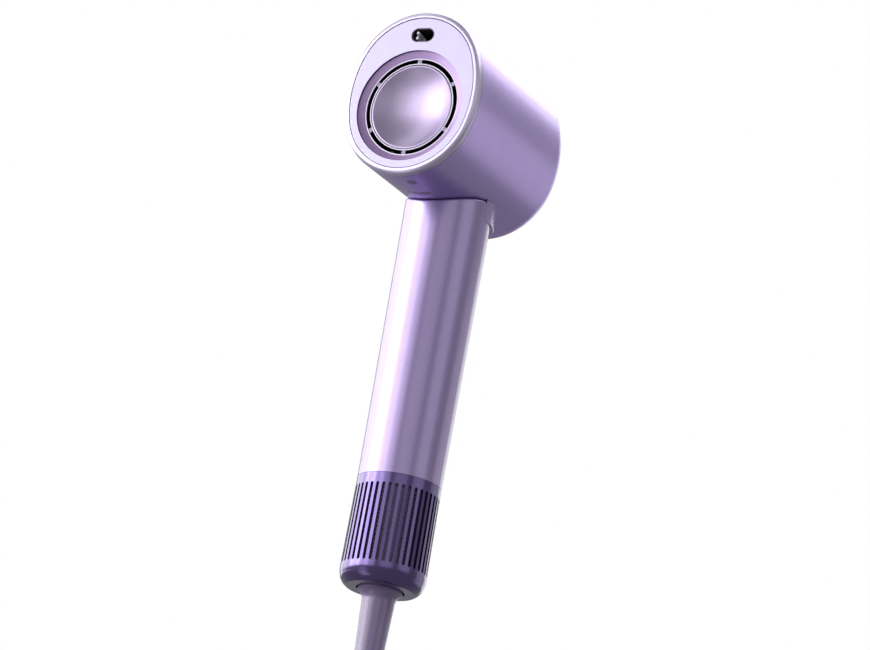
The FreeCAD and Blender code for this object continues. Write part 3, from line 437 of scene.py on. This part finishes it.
FINISH = {
    "shell_lavender": lacquer("shell_lavender", (0.49, 0.37, 0.74), (0.39, 0.27, 0.66), 0.85, 0.36),
    "face_lavender": lacquer("face_lavender", *FACE_COLOURS, 0.5, 0.4),
    # The seat's inner wall carries painted shade in near black.
    "recess_mauve": lacquer("recess_mauve", (0.27, 0.18, 0.36), (0.22, 0.13, 0.32), 0.5, 0.4,
                            shade_layers=SEAT_SHADE_LAYERS),
    "dish_pearl": lacquer("dish_pearl", (0.35, 0.29, 0.44), (0.30, 0.24, 0.40), 0.8, 0.42),
    "rim_lavender": lacquer("rim_lavender", (0.50, 0.45, 0.62), (0.45, 0.39, 0.58), 0.6, 0.3),
    "ring_pearl": lacquer("ring_pearl", *RING_COLOURS, 0.3, 0.3),
    "duct_black": moulded("duct_black", (0.006, 0.005, 0.008), 0.55),
    "dark_plastic": moulded("dark_plastic", (0.015, 0.013, 0.018), 0.5),
    "inner_plastic": moulded("inner_plastic", (0.26, 0.25, 0.28), 0.5),
    "handle_lavender": lacquer("handle_lavender", (0.32, 0.245, 0.465), (0.25, 0.175, 0.41),
                               0.8, 0.36, 1.0),
    "cover_violet": lacquer("cover_violet", (0.10, 0.062, 0.215), (0.065, 0.037, 0.165),
                            0.9, 0.24, 1.0),
    "mesh_violet": pierced("mesh_violet", (0.20, 0.16, 0.30), PAINTED_SHADE_BLACK),
    "magnet": metal("magnet", (0.16, 0.16, 0.17), 0.4),
    "mica": moulded("mica", (0.32, 0.26, 0.15), 0.45, 0.2, 1200.0),
    "heater_wire": metal("heater_wire", (0.30, 0.27, 0.24), 0.35),
    "steel": metal("steel", (0.55, 0.55, 0.57), 0.25),
    "nickel": metal("nickel", (0.72, 0.70, 0.66), 0.16, (1.0, 1.0, 0.1)),
    "lens": moulded("lens", (0.16, 0.10, 0.28), 0.3, 0.02, 1500.0, 0.05, 0.5),
    "board_green": moulded("board_green", (0.01, 0.09, 0.04), 0.4, 0.15, 900.0),
    "aluminium": metal("aluminium", (0.62, 0.62, 0.64), 0.32, (1.0, 1.0, 0.08)),
    "copper": metal("copper", (0.60, 0.26, 0.12), 0.3),
    "wire_red": moulded("wire_red", (0.35, 0.01, 0.01), 0.4),
    "wire_brown": moulded("wire_brown", (0.08, 0.03, 0.015), 0.4),
    "mount_rubber": moulded("mount_rubber", (0.01, 0.01, 0.011), 0.75, 0.25),
    "cord_violet": moulded("cord_violet", (0.19, 0.14, 0.29), 0.34, 0.03, 700.0, 0.08, 0.6),
    "tie": moulded("tie", (0.06, 0.045, 0.10), 0.85, 0.5, 2600.0, 0.25),
}
# A few pieces differ from the rest of their slot: the walls of the face plate's recess and of the
# grille's slot carry painted shade, dark violet and black, the emitter's prongs are a pale uncoated
# plastic, and the cowl is sprayed with the handle.
OWN_FINISH = {
    "outlet_grille": lacquer("grille_pearl", *RING_COLOURS, 0.3, 0.3, shade_layers=GRILLE_SHADE_LAYERS),
    "face_plate": lacquer("face_plate_lavender", *FACE_COLOURS, 0.5, 0.4, shade_layers=FACE_SHADE_LAYERS),
    "ion_emitter": moulded("emitter_pearl", (0.80, 0.74, 0.88), 0.35, 0.02, 700.0),
    "neck_cowl": FINISH["handle_lavender"],
}
SLOT_OF = {part["node"]: part["material_slot"] for part in frame["record"]["subparts"]}

for node, obj in NODES.items():
    obj.data.materials.clear()
    obj.data.materials.append(OWN_FINISH[node] if node in OWN_FINISH else FINISH[SLOT_OF[node]])

# ---- strap round the hank --------------------------------------------------------------------------


def strap_loop(low, high):
    """The strap's middle line: a rounded rectangle in the XY plane, from the middle of its front."""
    left, right = low[0] + STRAP_THICK / 2, high[0] - STRAP_THICK / 2
    front, rear = low[1] + STRAP_THICK / 2, high[1] - STRAP_THICK / 2
    corners = (
        (right - STRAP_CORNER, front + STRAP_CORNER, -90),
        (right - STRAP_CORNER, rear - STRAP_CORNER, 0),
        (left + STRAP_CORNER, rear - STRAP_CORNER, 90),
        (left + STRAP_CORNER, front + STRAP_CORNER, 180),
    )
    line = [Vector(((left + right) / 2, front, 0.0))]
    for centre_x, centre_y, start in corners:
        for step in range(CORNER_STEPS + 1):
            angle = math.radians(start + 90.0 * step / CORNER_STEPS)
            x = centre_x + STRAP_CORNER * math.cos(angle)
            y = centre_y + STRAP_CORNER * math.sin(angle)
            line.append(Vector((x, y, 0.0)))
    return line


def strap_section(width, thick):
    """Half-round edged section: distances across the strap and out of it."""
    half = thick / 2
    points = []
    for side in (1, -1):
        for step in range(EDGE_STEPS + 1):
            angle = math.radians(-90 + 180 * step / EDGE_STEPS)
            across = width / 2 - half + half * math.cos(angle)
            points.append((side * across, side * half * math.sin(angle)))
    return points


def add_band(mesh, line, middle_z, width, thick, closed):
    """A band of strap section along a line; an open one has its ends closed."""
    rings = []
    count = len(line)
    for index, point in enumerate(line):
        before = line[index - 1] if closed or index else point
        after = line[(index + 1) % count] if closed or index < count - 1 else point
        along = (after - before).normalized()
        out = Vector((along.y, -along.x, 0.0))
        rings.append([mesh.verts.new(point + out * rise + Vector((0.0, 0.0, middle_z + across)))
                      for across, rise in strap_section(width, thick)])
    for index in range(count if closed else count - 1):
        first, second = rings[index], rings[(index + 1) % count]
        for k in range(len(first)):
            mesh.faces.new((first[k], first[k - 1], second[k - 1], second[k]))
    if not closed:
        mesh.faces.new(rings[0])
        mesh.faces.new(list(reversed(rings[-1])))


def add_stitch(mesh, middle):
    """One block of thread across the flap."""
    for corner in bmesh.ops.create_cube(mesh, size=2.0)["verts"]:
        corner.co = middle + Vector(c * half for c, half in zip(corner.co, STITCH_HALF))


def hank_strap():
    """The hook-and-loop strap: its loop, and its free end doubled over the front, with a stitched hem."""
    low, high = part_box("hank_tie")
    middle_z, width = (low[2] + high[2]) / 2, high[2] - low[2]
    inner_low = (low[0] + STRAP_INSET, low[1] + STRAP_INSET)
    inner_high = (high[0] - STRAP_INSET, high[1] - STRAP_INSET)
    mesh = bmesh.new()
    add_band(mesh, strap_loop(inner_low, inner_high), middle_z, width, STRAP_THICK, True)
    front = inner_low[1] - FLAP_RISE
    flap = [Vector((-FLAP_REACH / 2 + FLAP_REACH * step / FLAP_STEPS, front, 0.0))
            for step in range(FLAP_STEPS + 1)]
    add_band(mesh, flap, middle_z, width - FLAP_NARROWER, FLAP_THICK, False)
    for stitch in range(STITCHES):
        z = middle_z + (stitch - (STITCHES - 1) / 2) * STITCH_PITCH
        add_stitch(mesh, Vector((FLAP_REACH / 2 - STITCH_INSET, front - FLAP_THICK / 2, z)))
    bmesh.ops.recalc_face_normals(mesh, faces=mesh.faces)
    data = bpy.data.meshes.new("hank_strap")
    mesh.to_mesh(data)
    mesh.free()
    for face in data.polygons:
        face.use_smooth = True
    strap = bpy.data.objects.new("hank_strap", data)
    SCENE.collection.objects.link(strap)
    data.materials.append(FINISH["tie"])
    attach(strap, "dryer")
    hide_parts("hank_tie")
    return strap


strap = hank_strap()

# ---- the cord's looks and declaration --------------------------------------------------------------

cord.data.materials.append(FINISH["cord_violet"])
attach(cord, "dryer")
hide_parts("cord_lead", "cord_hank", "cord_tail")

# ---- studio ----------------------------------------------------------------------------------------


def studio_world():
    """White to the camera; to the dryer, a dim and even room."""
    world = bpy.data.worlds.new("studio")
    world.use_nodes = True
    SCENE.world = world
    nodes, links = world.node_tree.nodes, world.node_tree.links
    nodes.clear()
    output = nodes.new("ShaderNodeOutputWorld")
    choose = nodes.new("ShaderNodeMixShader")
    links.new(nodes.new("ShaderNodeLightPath").outputs["Is Camera Ray"], choose.inputs["Fac"])
    for socket, strength in ((choose.inputs[1], ROOM_LIGHT), (choose.inputs[2], 1.0)):
        background = nodes.new("ShaderNodeBackground")
        background.inputs["Color"].default_value = (1.0, 1.0, 1.0, 1.0)
        background.inputs["Strength"].default_value = strength
        links.new(background.outputs["Background"], socket)
    links.new(choose.outputs["Shader"], output.inputs["Surface"])


def studio_floor():
    """A plain pale floor, well below the held dryer."""
    corners = [(x * FLOOR_HALF, y * FLOOR_HALF, FLOOR_Z) for x, y in ((-1, -1), (1, -1), (1, 1), (-1, 1))]
    mesh = bpy.data.meshes.new("floor")
    mesh.from_pydata(corners, [], [(0, 1, 2, 3)])
    floor = bpy.data.objects.new("floor", mesh)
    SCENE.collection.objects.link(floor)
    r = Recipe("floor_paint")
    tone = r.spread(r.noise(FLOOR_SCALE, 3.0), 0.0, 1.0)
    r.link(r.mixed(tone, (0.80, 0.80, 0.81), (0.77, 0.77, 0.78)), "Base Color")
    r.set(Roughness=0.8, Emission_Color=(1.0, 1.0, 1.0, 1.0), Emission_Strength=FLOOR_GLOW)
    mesh.materials.append(r.material)
    # It glows, so it is kept out of the dryer's light and reflections.
    floor.visible_diffuse = False
    floor.visible_glossy = False


def softbox(name, turn, height, power, width):
    """An area light around the dryer, turned from the camera and raised, both in degrees."""
    away = direction(CAMERA_AZIMUTH + turn, height)
    data = bpy.data.lights.new(name, "AREA")
    data.shape = "RECTANGLE"
    data.size, data.size_y = width, BOX_TALL
    data.energy = power
    light = bpy.data.objects.new(name, data)
    light.location = Vector((0.0, 0.0, LIGHT_AIM_Z)) + away * LIGHT_DISTANCE
    light.rotation_mode = "QUATERNION"
    light.rotation_quaternion = (-away).to_track_quat("-Z", "Y")
    SCENE.collection.objects.link(light)


studio_world()
studio_floor()
for box in SOFTBOXES:
    softbox(*box)
SCENE.view_settings.view_transform = "Standard"
